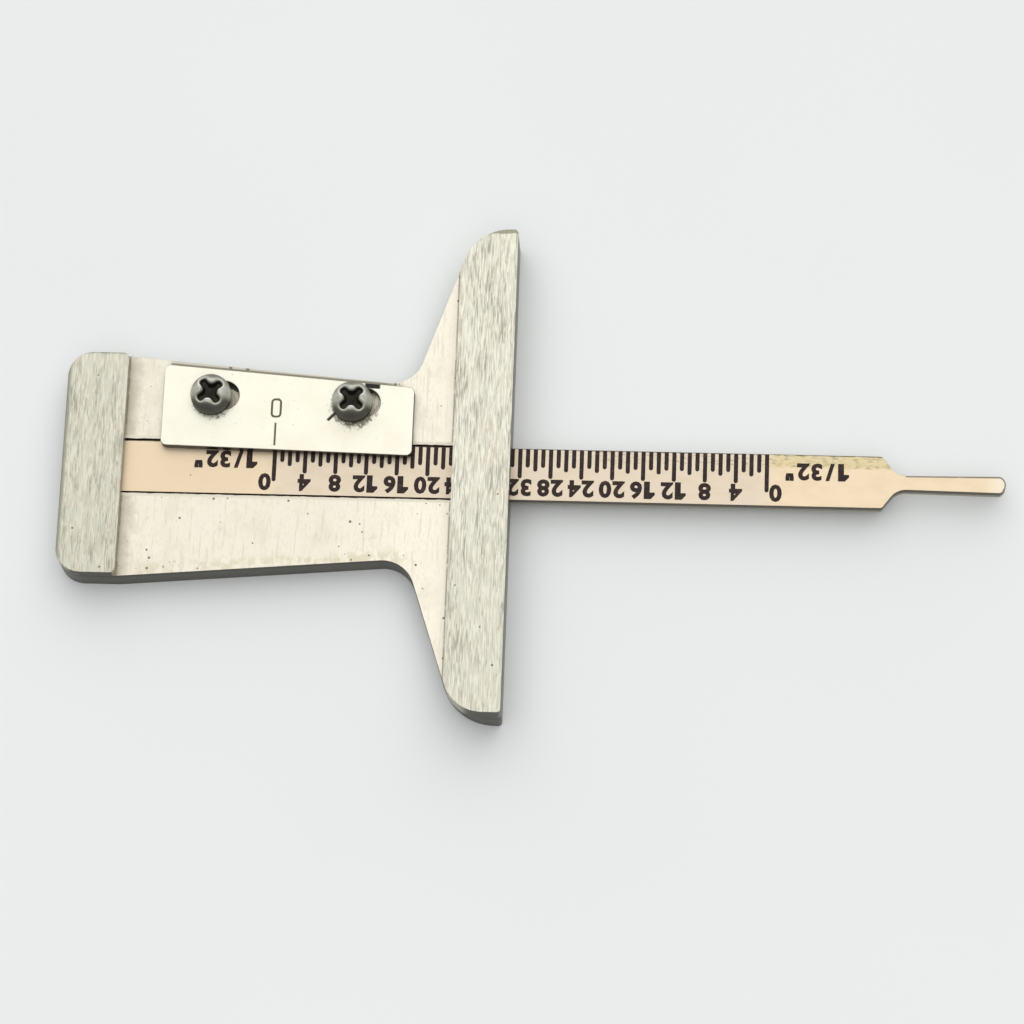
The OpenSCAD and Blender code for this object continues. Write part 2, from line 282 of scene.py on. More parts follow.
class Finish(NodeTree):
    """A material being put together. Lengths in it are millimetres on the object."""

    def __init__(self, name, tone, **constants):
        self.material = bpy.data.materials.new(name)
        self.material.use_nodes = True
        super().__init__(self.material.node_tree)
        self.shader = self.tree.nodes["Principled BSDF"]
        for socket, value in constants.items():
            self.shader.inputs[socket.replace("_", " ")].default_value = value
        self.colour = tone
        on_object = self.node("ShaderNodeTexCoord").outputs
        scaled = self.node("ShaderNodeVectorMath", operation="SCALE")
        self.feed(scaled.inputs[0], on_object["Object"])
        scaled.inputs["Scale"].default_value = 1 / MM
        self.place = scaled.outputs[0]
        self.x, self.y, self.z = self.parts(self.place)
        self.normal = on_object["Normal"]
        self.east, self.north, self.up = self.parts(self.normal)

    def spread(self, size, shift=0.0):
        """The place on the object, counted in features of that size along X, Y and Z."""
        divided = self.node("ShaderNodeVectorMath", operation="DIVIDE")
        self.feed(divided.inputs[0], self.place)
        divided.inputs[1].default_value = size
        moved = self.node("ShaderNodeVectorMath", operation="ADD")
        self.feed(moved.inputs[0], divided.outputs[0])
        moved.inputs[1].default_value = (shift, shift, shift)
        return moved.outputs[0]

    def noise(self, size, detail=2.0, shift=0.0):
        """Noise from 0 to 1 with features of that size along X, Y and Z."""
        node = self.node("ShaderNodeTexNoise")
        self.feed(node.inputs["Vector"], self.spread(size, shift))
        node.inputs["Scale"].default_value = 1.0
        node.inputs["Detail"].default_value = detail
        return node.outputs["Fac"]

    def specks(self, spacing, radius, share, shift=0.0):
        """1 in small round specks, one in each cell of that spacing for a share of the cells."""
        node = self.node("ShaderNodeTexVoronoi")
        self.feed(node.inputs["Vector"], self.spread((spacing, spacing, spacing), shift))
        node.inputs["Scale"].default_value = 1.0
        chance = self.node("ShaderNodeSeparateColor")
        self.feed(chance.inputs[0], node.outputs["Color"])
        size = self.math("MULTIPLY", chance.outputs["Green"], radius / spacing)
        spot = self.math("LESS_THAN", node.outputs["Distance"], size)
        return self.all(spot, self.math("LESS_THAN", chance.outputs["Red"], share))

    def away(self, x, y):
        """Distance from an upright line."""
        across = self.math("SUBTRACT", self.x, x)
        along = self.math("SUBTRACT", self.y, y)
        return self.math("SQRT", self.sum((across, across), (along, along)))

    def streak(self, start, end, width, soft):
        """1 along a short mark between two places seen from above, with soft ends and sides."""
        way = Vector(end) - Vector(start)
        length = way.length
        way.normalize()
        right = self.math("SUBTRACT", self.x, start[0])
        ahead = self.math("SUBTRACT", self.y, start[1])
        along = self.sum((right, way.x), (ahead, way.y))
        across = self.math("ABSOLUTE", self.sum((right, way.y), (ahead, -way.x)))
        in_width = self.fade(across, width / 2, width / 2 - soft)
        return self.all(in_width, self.between(along, 0.0, length, soft))

    def lay(self, mask, tone, amount=1.0):
        """Lays a tone over the colour so far where the mask is 1, wholly or by an amount below 1."""
        share = mask if amount == 1.0 else self.math("MULTIPLY", mask, amount)
        self.colour = self.mix("RGBA", share, self.colour, tone)

    def edges(self, tone, start, end, north=0.0, east=0.0):
        """Lays a tone over what is turned from the top, the more if it faces +Y and +X by these weights:
        painted shade on turned edges.
        """
        turned = self.sum((self.up, 1.0), (self.north, -north), (self.east, -east))
        self.lay(self.fade(turned, start, end), tone)

    def burnish(self, mask):
        """Shades what is worn bright as if it lay flat."""
        self.normal = self.mix("VECTOR", mask, self.normal, (0.0, 0.0, 1.0))

    def bump(self, height, depth):
        """Tilts the surface as if height, from 0 to 1, were that many millimetres."""
        outside = self.node("ShaderNodeVectorTransform", vector_type="NORMAL", convert_from="OBJECT",
                            convert_to="WORLD")
        self.feed(outside.inputs[0], self.normal)
        node = self.node("ShaderNodeBump")
        self.feed(node.inputs["Normal"], outside.outputs[0])
        node.inputs["Strength"].default_value = 1.0
        node.inputs["Distance"].default_value = depth * MM
        self.feed(node.inputs["Height"], height)
        self.feed(self.shader.inputs["Normal"], node.outputs[0])

    def done(self, grain, smooth, rough):
        """Sets the colour, and a roughness that follows the grain."""
        self.feed(self.shader.inputs["Base Color"], self.colour)
        self.feed(self.shader.inputs["Roughness"], self.math("MULTIPLY_ADD", grain, rough - smooth, smooth))
        return self.material


def screw_place(name):
    """A screw's axis from above, in millimetres."""
    low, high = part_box(name)
    return ((low.x + high.x) / 2 / MM, (low.y + high.y) / 2 / MM)


def far_edge():
    """The two ends of the index plate's far edge from above, in millimetres."""
    places = [v.co.xy / MM for v in frame["nodes"]["index_plate"].data.vertices]
    return [max(places, key=lambda p: p.dot(way)) for way in FAR_CORNER_WAYS]


def plate_finish():
    """Satin plate: cream, with faint wrinkles, stains and specks and dirt in its corners, and painted light
    and shade: paler towards the foot bar, darker turned edges, dark sides, and shade behind the index plate.
    """
    f = Finish("plate_finish", steel(247, 241, 222), Metallic=STEEL_METAL)
    grain = f.noise((0.14, 0.5, 0.3), detail=3.0, shift=7.0)
    wave = f.noise((0.9, 0.9, 0.9), detail=3.0, shift=4.0)
    stain = f.noise((3.0, 4.0, 3.0), detail=3.0)
    wrinkle = f.noise((0.35, 4.0, 1.0), shift=13.0)
    # painted light, lightening the plate towards the foot bar
    f.lay(f.fade(f.x, *PLATE_LIT_X), steel(255, 249, 230))
    f.lay(f.fade(stain, 0.45, 0.75), steel(236, 228, 208), 0.7)
    f.lay(f.fade(wrinkle, 0.55, 0.7), steel(224, 214, 192), 0.5)
    f.lay(f.fade(grain, 0.5, 0.75), steel(214, 206, 188), 0.35)
    stain_stem_edge(f, wave)
    f.lay(f.specks(spacing=1.1, radius=0.15, share=0.6), steel(84, 74, 58), 0.85)
    stain_rear_seam(f, wave)
    stain_foot_seam(f, wave)
    stain_slots(f, grain, wave)
    stain_far_edge(f)
    # painted shade: the plate's turned edges darker, the more where they face +Y
    f.edges(steel(176, 170, 154), 0.95, 0.6, north=0.4)
    for place in FAR_EDGE_DIRT:
        f.lay(f.fade(f.sum((f.away(*place), 1.0), (wave, 0.4)), 0.44, 0.3), steel(110, 106, 84), 0.9)
    darken_plate_sides(f)
    darken_groove(f, wave)
    f.bump(grain, depth=0.004)
    return f.done(grain, smooth=0.3, rough=0.5)


def stain_stem_edge(f, wave):
    """Stains and specks along the stem's near edge, which mirrors the far one beside the index plate."""
    start, end = far_edge()
    taper = (end.y - start.y) / (end.x - start.x)
    edge = taper * start.x - start.y - INDEX_INSET
    from_edge = f.sum((f.y, 1.0), (f.x, taper))
    near_edge = f.all(f.fade(from_edge, edge + 1.7, edge + 0.4), f.fade(f.x, *STEM_STAIN_X))
    f.lay(f.all(near_edge, f.fade(wave, 0.46, 0.62)), steel(216, 206, 172), 0.55)
    specks = f.specks(spacing=0.6, radius=0.13, share=0.4, shift=4.0)
    f.lay(f.all(near_edge, specks), steel(120, 108, 80), 0.8)


def stain_rear_seam(f, wave):
    """Grey stains and specks on the plate ahead of the rear bar, and a dark line along it."""
    seam = REAR_HIGH.x / MM
    f.lay(f.all(f.fade(f.x, seam + 3.0, seam), f.fade(wave, 0.42, 0.62)), steel(206, 197, 174), 0.7)
    f.lay(f.fade(f.x, seam + 1.6, seam + 0.5), steel(206, 198, 178), 0.7)
    specks = f.specks(spacing=0.7, radius=0.16, share=0.3, shift=3.0)
    f.lay(f.all(f.fade(f.x, seam + 4.5, seam + 2.0), specks), steel(104, 94, 74), 0.8)
    f.lay(f.all(f.fade(f.x, seam + 0.14, seam + 0.04), f.fade(wave, 0.3, 0.6)), steel(140, 130, 104), 0.6)


def stain_foot_seam(f, wave):
    """Painted light on a strip of the plate behind the foot bar, and a dark line with specks of dirt along
    it.
    """
    seam = FOOT_LOW.x / MM
    # painted light, lifting the plate where the foot bar shades it
    f.lay(f.fade(f.x, seam - 2.6, seam - 0.4), steel(266, 259, 240), 0.45)
    f.lay(f.all(f.fade(f.x, seam - 0.36, seam - 0.22), f.fade(wave, 0.2, 0.5)), steel(158, 148, 126), 0.8)
    specks = f.specks(spacing=0.7, radius=0.2, share=0.4, shift=5.0)
    f.lay(f.all(f.fade(f.x, seam - 0.8, seam - 0.5), specks), steel(112, 98, 74), 0.8)


def stain_slots(f, grain, wave):
    """Dirt on the plate where the index plate's slots show it, with painted shade and dirt on their far
    sides.
    """
    specks = f.specks(spacing=0.8, radius=0.3, share=0.5, shift=2.0)
    for name, tone, far_shade_and_dirt_from in zip(SCREWS, (steel(214, 204, 184), steel(228, 222, 202)), (1.6, 2.3)):
        x, y = screw_place(name)
        slot = f.fade(f.away(x + SLOT_PLAY, y), 2.0, 1.7)
        far_shade_and_dirt = f.fade(f.sum((f.y, 1.0), (wave, 1.6)), y + far_shade_and_dirt_from, y + far_shade_and_dirt_from + 0.2)
        f.lay(slot, tone)
        f.lay(f.all(slot, f.fade(grain, 0.45, 0.65)), steel(130, 124, 104), 0.6)
        f.lay(f.all(slot, specks), steel(60, 54, 38), 0.8)
        # painted shade, with dirt, on the slot's far side, under its upper wall
        f.lay(f.all(slot, far_shade_and_dirt), steel(44, 40, 30), 0.95)


def stain_far_edge(f):
    """Painted shade and dirt on a grey strip of the plate behind the index plate's far edge, darkest beside
    it.
    """
    start, end = far_edge()
    # painted shade with dirt: a grey strip, and a darker one right beside the edge
    for shift, width, tone in ((0.8, 2.0, steel(210, 206, 190)), (0.36, 0.5, steel(132, 128, 110))):
        behind = [corner + Vector((0.0, out + shift)) for corner, out in zip((start, end), FAR_EDGE_SHIFT)]
        strip = f.streak(*behind, width, soft=width / 4)
        f.lay(f.all(strip, f.fade(f.x, end.x, end.x - 3.0)), tone, 0.9)


def darken_plate_sides(f):
    """Darkens the plate's cut sides with painted shade, most of all those that face -Y, and darkens its
    ledge beside the rear bar.
    """
    seam, near = REAR_HIGH.x / MM, REAR_LOW.y / MM
    dark = steel(98, 95, 87)
    f.lay(f.all(f.fade(f.x, seam + 0.1, seam), f.fade(f.y, near + 0.05, near - 0.02)), dark)
    # painted shade: every side darker than the top, those facing -Y darker still, and darkest towards their
    # top
    side = f.fade(f.up, *SIDE_UP)
    f.lay(side, steel(150, 147, 137))
    near_side = f.all(side, f.fade(f.north, 0.1, -0.3))
    f.lay(near_side, dark)
    f.lay(f.all(near_side, f.fade(f.z, *PLATE_SIDE_SHADE_Z)), steel(62, 58, 50))


def darken_groove(f, wave):
    """Clean lips along the rule's groove, and a dark wavy line inside them."""
    lip = f.math("SUBTRACT", f.math("ABSOLUTE", f.y), GROOVE_HALF / MM)
    top = f.fade(f.up, 0.5, 0.8)
    f.lay(f.all(top, f.fade(lip, 0.45, 0.25)), steel(232, 225, 206))
    f.lay(f.all(top, f.fade(f.sum((lip, 1.0), (wave, -0.2)), -0.02, -0.08)), steel(62, 50, 34))


def bar_finish(node, ground, light, dark, west, east, scratch_w, scratch_l, rim, border):
    """Scratches along Y on a stained ground, with a dark rim at the far end, and painted light and shade: a
    shaded border on the -X side where the edge rounds, darker turned edges, and sides lighter or darker by
    the way they face.
    """
    f = Finish(node + "_finish", ground, Metallic=STEEL_METAL)
    low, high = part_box(node)
    stain = f.noise((1.5, 3.4, 1.0), detail=4.0, shift=9.0)
    bleach = f.noise((1.2, 2.4, 1.0), detail=3.0, shift=21.0)
    gather = f.noise((0.9, 5.0, 1.0), detail=3.0, shift=17.0)
    pale = f.noise((scratch_w, scratch_l, 0.5), detail=4.0)
    grooves = f.noise((0.8 * scratch_w, 0.8 * scratch_l, 0.5), detail=3.0, shift=5.0)
    deep = f.sum((grooves, 1.0), (gather, 0.6))
    fine = f.noise((0.1, 2.0, 0.3), shift=3.0)
    f.lay(f.fade(stain, 0.42, 0.62), steel(216, 206, 190), 0.6)
    f.lay(f.fade(bleach, 0.5, 0.68), steel(222, 230, 214), 0.5)
    f.lay(f.fade(pale, 0.45, 0.6), light)
    f.lay(f.fade(fine, 0.46, 0.34), light, 0.6)
    f.lay(f.fade(deep, 0.84, 1.02), dark, 0.9)
    f.lay(f.fade(f.sum((fine, 1.0), (gather, 0.4)), 0.76, 0.9), steel(150, 142, 124), 0.55)
    f.lay(f.fade(f.y, *BAR_DIM_Y), dark, 0.16)
    f.lay(f.specks(spacing=1.4, radius=0.15, share=0.4), steel(88, 80, 64), 0.8)
    far = f.sum((f.y, 1.0), (stain, 0.6))
    f.lay(f.fade(far, high.y / MM + 0.3 - rim, high.y / MM + 0.45 - rim), steel(150, 151, 124), 0.85)
    # painted shade: a grey border along the -X side, where the edge rounds off
    near = f.sum((f.x, 1.0), (stain, -0.4))
    f.lay(f.fade(near, low.x / MM + border, low.x / MM + border - 0.3), steel(150, 149, 130), 0.85)
    # painted shade on the turned edges, more where they face +Y
    f.edges(steel(132, 130, 118), 0.6, 0.3, north=0.5)
    # painted light and shade on the sides: dark, then the west and east tones by the way they face
    side = f.fade(f.up, *SIDE_UP)
    f.lay(side, steel(86, 82, 72))
    f.lay(f.all(side, f.fade(f.east, -0.3, -0.6)), west)
    f.lay(f.all(side, f.fade(f.east, 0.3, 0.6)), east)
    f.burnish(f.fade(f.up, 0.5, 0.68))
    f.bump(f.sum((pale, 0.5), (deep, -0.4)), depth=0.008)
    return f.done(fine, smooth=0.5, rough=0.38)


def foot_finish():
    """The foot bar's bright brushed steel."""
    return bar_finish("foot_bar", ground=steel(230, 226, 207), light=steel(250, 247, 229),
                      dark=steel(182, 180, 161), west=steel(205, 200, 182), east=steel(118, 115, 105),
                      scratch_w=0.17, scratch_l=1.8, rim=0.55, border=-0.1)


def rear_finish():
    """The rear bar's duller brushed steel."""
    return bar_finish("rear_bar", ground=steel(214, 211, 191), light=steel(232, 229, 210),
                      dark=steel(182, 180, 160), west=steel(166, 165, 152), east=steel(196, 190, 170),
                      scratch_w=0.21, scratch_l=1.5, rim=0.25, border=0.35)


def rule_finish():
    """Peach-tinted satin steel, greyer between the graduations, yellowed and scuffed along one edge, with
    painted shade on its edges and sides.
    """
    f = Finish("rule_finish", steel(246, 225, 191), Metallic=STEEL_METAL)
    grain = f.noise((0.9, 0.16, 0.3), detail=3.0, shift=5.0)
    wave = f.noise((0.8, 0.5, 0.5), detail=3.0, shift=2.0)
    cloud = f.noise((2.2, 1.1, 1.1), detail=3.0, shift=8.0)
    tip = RULE_HIGH.x / MM
    f.lay(f.fade(f.x, INDEX_LINE_X / MM, INDEX_LINE_X / MM - 3.0), steel(240, 218, 186))
    scale = f.between(f.x, INDEX_LINE_X / MM, ZERO_X / MM, soft=1.5)
    f.lay(f.fade(cloud, 0.4, 0.7), steel(238, 216, 182), 0.7)
    f.lay(scale, steel(229, 214, 194), 0.75)
    f.lay(f.all(scale, f.fade(cloud, 0.45, 0.65)), steel(224, 209, 178), 0.45)
    wear_rule_edge(f, wave)
    f.lay(f.fade(f.x, tip - 2.5, tip - 0.5), steel(250, 240, 216), 0.8)
    f.lay(f.specks(spacing=2.6, radius=0.18, share=0.3), steel(112, 94, 74), 0.8)
    edge = RULE_HIGH.y / MM
    f.lay(f.fade(f.sum((f.y, 1.0), (wave, 0.24)), edge, edge + 0.06), steel(84, 72, 54), 0.9)
    outline_probe(f, wave)
    # painted shade on the turned edges
    f.edges(steel(98, 90, 70), 0.98, 0.75)
    # painted shade on the sides, and painted light from the table on their lower part
    side = f.fade(f.up, *RULE_SIDE_UP)
    f.lay(side, steel(84, 77, 62))
    floor = RULE_LOW.z / MM
    f.lay(f.all(side, f.fade(f.z, floor + 0.75, floor + 0.35)), steel(176, 170, 156))
    f.bump(grain, depth=0.002)
    return f.done(grain, smooth=0.32, rough=0.46)


def wear_rule_edge(f, wave):
    """A yellowed band along the rule's far edge past the zero, with scuffs and a dirty line beside it."""
    edge = RULE_HIGH.y / MM
    upper = f.fade(f.y, edge - 1.5, edge - 1.2)
    band = f.all(upper, f.fade(f.x, ZERO_X / MM, ZERO_X / MM + 1.0))
    scuff = f.fade(f.noise((0.7, 0.18, 0.3), detail=3.0, shift=11.0), 0.52, 0.64)
    f.lay(band, steel(226, 209, 160), 0.75)
    f.lay(f.all(band, f.fade(wave, 0.5, 0.62)), steel(206, 188, 140), 0.6)
    f.lay(f.all(upper, f.fade(f.x, *RULE_SCUFF_X), scuff), steel(160, 154, 132), 0.6)
    line = f.between(f.y, edge - 1.6, edge - 1.3, soft=0.1)
    f.lay(f.all(line, band, scuff), steel(110, 100, 76), 0.8)


def outline_probe(f, wave):
    """A dark outline round the probe's tip and along its far edge, which follows its flare."""
    tip = RULE_HIGH.x / MM
    radius = PROBE_R / MM
    neck = tip - PROBE_L / MM
    flare = PROBE_FLARE * MM / PROBE_L
    across = f.math("DIVIDE", f.y, f.math("MULTIPLY_ADD", f.x, flare, 1 - flare * neck))
    ahead = f.math("MAXIMUM", f.math("SUBTRACT", f.x, tip - radius), 0.0)
    outward = f.math("SQRT", f.sum((ahead, ahead), (across, across)))
    rim = f.all(f.fade(outward, radius - 0.2, radius - 0.08), f.fade(f.x, neck, neck + 0.1))
    shown_part = f.math("MAXIMUM", f.fade(f.y, *PROBE_OUTLINE_Y), f.fade(f.x, tip - 0.5, tip - 0.2))
    f.lay(f.all(rim, shown_part, f.fade(wave, 0.1, 0.4)), steel(104, 98, 78), 0.9)


def index_finish():
    """Bright satin plate with dirt round its screws, painted shade and dirt beyond the front slot, and
    painted shade on its turned edges and sides.
    """
    f = Finish("index_finish", steel(255, 253, 234), Metallic=STEEL_METAL)
    grain = f.noise((0.2, 0.6, 0.2))
    cloud = f.noise((3.0, 3.0, 3.0), detail=3.0, shift=2.0)
    crumbs = f.noise((0.3, 0.3, 0.3), detail=4.0, shift=6.0)
    f.lay(f.fade(cloud, 0.4, 0.7), steel(252, 247, 226))
    f.lay(f.specks(spacing=2.3, radius=0.16, share=0.25), steel(150, 142, 116), 0.7)
    for name, reach, strength in zip(SCREWS, (2.6, 3.1), (0.22, 0.36)):
        x, y = screw_place(name)
        ring = f.fade(f.away(x + 0.2, y - 0.25), reach, 2.0)
        f.lay(f.fade(f.sum((crumbs, 1.0), (ring, strength)), 0.66, 0.92), steel(104, 98, 74), 0.85)
    x, y = screw_place("index_screw_front")
    scratch = f.streak((x - 2.5, y - 1.9), (x - 1.7, y - 1.05), width=0.42, soft=0.1)
    # painted shade and dirt in a patch beyond the front slot
    shaded_dirt_patch = f.streak((x + 1.2, y + 2.2), (x + 2.8, y + 2.1), width=1.0, soft=0.1)
    f.lay(scratch, steel(60, 54, 36))
    f.lay(shaded_dirt_patch, steel(24, 22, 16))
    # painted shade on the turned edges, more where they face +Y and +X
    f.edges(steel(110, 104, 86), 0.95, 0.6, north=0.4, east=0.2)
    # painted shade on the sides, lighter on the slots' walls
    side = f.fade(f.up, *SIDE_UP)
    f.lay(side, steel(46, 41, 29))
    for name in SCREWS:
        x, y = screw_place(name)
        f.lay(f.all(side, f.fade(f.away(x + SLOT_PLAY, y), 2.2, 1.9)), steel(140, 130, 108))
    f.bump(grain, depth=0.002)
    return f.done(grain, smooth=0.28, rough=0.42)


def screw_finish():
    """Dull steel with painted light and shade: lighter on the flanks that face +X and -X, darker on those
    that face +Y and -Y, a painted shadow with dirt at the seat on the near side, a painted highlight on the
    lip, and painted shade and dirt in the recess.
    """
    f = Finish("screw_finish", steel(206, 208, 190), Metallic=STEEL_METAL)
    grain = f.noise((0.35, 0.35, 0.35), detail=3.0)
    sideways = f.math("ABSOLUTE", f.east)
    f.lay(f.fade(grain, 0.42, 0.66), steel(176, 176, 156))
    # painted light on the flanks that face +X and -X
    f.lay(f.all(f.fade(f.up, 0.99, 0.8), f.fade(sideways, 0.15, 0.5)), steel(222, 224, 208))
    # painted shade on the flanks that face +Y
    f.lay(f.all(f.fade(f.up, 0.99, 0.85), f.fade(f.north, 0.1, 0.5)), steel(112, 106, 88))
    # painted shade on the flanks that face -Y
    f.lay(f.all(f.fade(f.up, 0.995, 0.9), f.fade(f.north, -0.12, -0.5)), steel(92, 91, 84))
    seat = INDEX_HIGH.z / MM
    # painted shadow, with dirt, round the seat on the near side
    f.lay(f.all(f.fade(f.z, seat + 0.7, seat + 0.2), f.fade(f.north, 0.0, -0.4)), steel(34, 32, 26))
    hollow = f.node("ShaderNodeAttribute", attribute_name="hollow").outputs["Fac"]
    # painted highlight round the recess's lip, brightest where it faces +Y
    lip = f.between(hollow, 0.04, 0.2, soft=0.04)
    f.lay(lip, steel(196, 196, 184), 0.7)
    f.lay(f.all(lip, f.fade(f.north, 0.1, 0.5)), steel(255, 252, 248))
    # painted shade and dirt in the recess
    f.lay(f.fade(hollow, 0.18, 0.4), steel(44, 38, 29))
    f.bump(grain, depth=0.008)
    return f.done(grain, smooth=0.45, rough=0.6)


def plain_finish(name, light, dark, size, smooth):
    """Mottled satin steel, for the pieces that hardly show."""
    f = Finish(name, light, Metallic=STEEL_METAL)
    grain = f.noise(size, detail=3.0)
    f.lay(f.fade(grain, 0.35, 0.65), dark)
    f.bump(grain, depth=0.004)
    return f.done(grain, smooth, rough=smooth + 0.15)


def ink_finish(name, fresh, worn):
    """Print that has worn a little unevenly."""
    f = Finish(name, fresh, Specular_IOR_Level=0.2)
    wear = f.noise((0.45, 0.45, 0.45), detail=3.0)
    f.lay(f.fade(wear, 0.45, 0.8), worn)
    return f.done(wear, smooth=0.45, rough=0.65)


def floor_finish():
    """A pale matt table top with faint clouds."""
    f = Finish("floor_finish", shown(244, 246, 245), Specular_IOR_Level=0.2)
    cloud = f.noise((FLOOR_CLOUDS_MM, FLOOR_CLOUDS_MM, FLOOR_CLOUDS_MM))
    f.lay(cloud, shown(238, 241, 240))
    return f.done(cloud, smooth=0.6, rough=0.8)


def paint(piece, finish):
    """Gives a piece one finish all over."""
    piece.data.materials.clear()
    piece.data.materials.append(finish)


def add_piece(name, bm, finish, body):
    """Makes an object from a bmesh and lets it ride a body."""
    mesh = bpy.data.meshes.new(name)
    bm.to_mesh(mesh)
    bm.free()
    piece = bpy.data.objects.new(name, mesh)
    bpy.context.scene.collection.objects.link(piece)
    paint(piece, finish)
    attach(piece, body)
    return piece


def softened(node, name, width, finish, body, reshape=None):
    """A copy of a CAD node, reshaped and with its outer edges rounded, which stands for the node."""
    bm = bmesh.new()
    bm.from_mesh(frame["nodes"][node].data)
    bmesh.ops.remove_doubles(bm, verts=bm.verts, dist=WELD)
    bmesh.ops.dissolve_limit(bm, angle_limit=FLAT_ANGLE, verts=bm.verts[:], edges=bm.edges[:])
    if reshape:
        reshape(bm)
    round_edges(bm, width)
    for face in bm.faces:
        face.smooth = True
    piece = add_piece(name, bm, finish, body)
    piece.modifiers.new("soft_edges", "WEIGHTED_NORMAL")
    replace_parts(piece, node)


def round_edges(bm, width):
    """Rounds the sharp outer edges, by less where short edges leave no room."""
    edges = [e for e in bm.edges
             if len(e.link_faces) == 2 and e.is_convex and e.calc_face_angle() > SHARP_ANGLE]
    bmesh.ops.bevel(bm, geom=edges, offset=width, offset_type="OFFSET", segments=EDGE_STEPS,
                    profile=EDGE_PROFILE, affect="EDGES", clamp_overlap=True)


def flare_probe(bm):
    """Widens the probe towards its tip."""
    for vert in bm.verts:
        if vert.co.x > RULE_HIGH.x - PROBE_R - WELD:
            vert.co.y *= 1 + PROBE_FLARE


def reach_far_edge(bm):
    """Moves the index plate's far edge out, and leaves its slots where they are."""
    start, end = far_edge()
    for vert in bm.verts:
        x, y = vert.co.xy / MM
        share = (x - start.x) / (end.x - start.x)
        if y > start.y + share * (end.y - start.y) - FAR_EDGE_DEPTH and not on_slot(x, y):
            vert.co.y += (FAR_EDGE_SHIFT[0] + share * (FAR_EDGE_SHIFT[1] - FAR_EDGE_SHIFT[0])) * MM


def on_slot(x, y):
    """Whether a place from above, in millimetres, is at the rim of an adjusting slot or inside it."""
    for name in SCREWS:
        screw_x, screw_y = screw_place(name)
        along = max(abs(x - screw_x - SLOT_PLAY / 2) - SLOT_PLAY / 2, 0.0)
        if math.hypot(along, y - screw_y) < SLOT_REACH:
            return True
    return False


def extruded(bm, outline, low_z, high_z):
    """Adds a closed solid over an outline of points that runs counter-clockwise."""
    low = [bm.verts.new((x, y, low_z)) for x, y in outline]
    high = [bm.verts.new((x, y, high_z)) for x, y in outline]
    bm.faces.new(low[::-1])
    bm.faces.new(high)
    for i in range(len(outline)):
        after = (i + 1) % len(outline)
        bm.faces.new((low[i], low[after], high[after], high[i]))


def arc(centre, radius, start, end, steps):
    """Points along an arc, from one angle in degrees to another."""
    angles = [math.radians(start + (end - start) * i / steps) for i in range(steps + 1)]
    return [(centre[0] + radius * math.cos(a), centre[1] + radius * math.sin(a)) for a in angles]


def rounded_box(centre, width, height, radius):
    """Outline of a box with round corners."""
    points = []
    for turn, (right, up) in enumerate(((1, 1), (-1, 1), (-1, -1), (1, -1))):
        corner = (centre[0] + right * (width / 2 - radius), centre[1] + up * (height / 2 - radius))
        points += arc(corner, radius, 90 * turn, 90 * turn + 90, MARK_CORNER_STEPS)
    return points


def glyph(character):
    """Mesh of a bold character of the built-in font, one unit thick."""
    curve = bpy.data.curves.new("glyph", "FONT")
    curve.body = character
    curve.offset = DIGIT_BOLD
    curve.resolution_u = DIGIT_CURVE_STEPS
    curve.extrude = GLYPH_HALF_T
    source = bpy.data.objects.new("glyph", curve)
    bpy.context.scene.collection.objects.link(source)
    bpy.context.view_layer.update()
    mesh = bpy.data.meshes.new_from_object(source.evaluated_get(bpy.context.evaluated_depsgraph_get()))
    bpy.data.objects.remove(source)
    bpy.data.curves.remove(curve)
    return mesh


def flagged_one(bottom, top):
    """Mesh of a one with a flag, between two heights and one unit thick."""
    height = top - bottom
    flag = [(x * height, bottom + y * height) for x, y in ONE_FLAG]
    stem = ONE_STEM_W * height
    outline = [(0, bottom), (stem, bottom), (stem, top), flag[2], flag[1], flag[0], (0, flag[0][1])]
    bm = bmesh.new()
    extruded(bm, outline, -GLYPH_HALF_T, GLYPH_HALF_T)
    mesh = bpy.data.meshes.new("glyph")
    bm.to_mesh(mesh)
    bm.free()
    return mesh


def extent(mesh, axis):
    """The lowest and highest place of a mesh along an axis."""
    values = [v.co[axis] for v in mesh.vertices]
    return min(values), max(values)


def add_text(bm, text, middle, base_y):
    """Adds upside-down characters side by side, so that they read towards -X."""
    nought = glyph("0")
    left, right = extent(nought, 0)
    bottom, top = extent(nought, 1)
    bpy.data.meshes.remove(nought)
    scale = Matrix.Diagonal((-DIGIT_W / (right - left), -DIGIT_H / (top - bottom), INK_T, 1))
    for i, character in enumerate(text):
        mesh = flagged_one(bottom, top) if character == "1" else glyph(character)
        centre = sum(extent(mesh, 0)) / 2
        x = middle - (i - (len(text) - 1) / 2) * DIGIT_PITCH
        place = Matrix.Translation((x, base_y, RULE_HIGH.z + INK_T / 2))
        mesh.transform(place @ scale @ Matrix.Translation((-centre, -bottom, 0)))
        bm.from_mesh(mesh)
        bpy.data.meshes.remove(mesh)


def tick_length(count):
    """How long a tick is, by its count from the nearer zero."""
    if count == 0:
        return TICK_ZERO
    if count % NUMBER_STEP == 0:
        return TICK_LONG
    return TICK_SHORT if count % 2 else TICK_MEDIUM


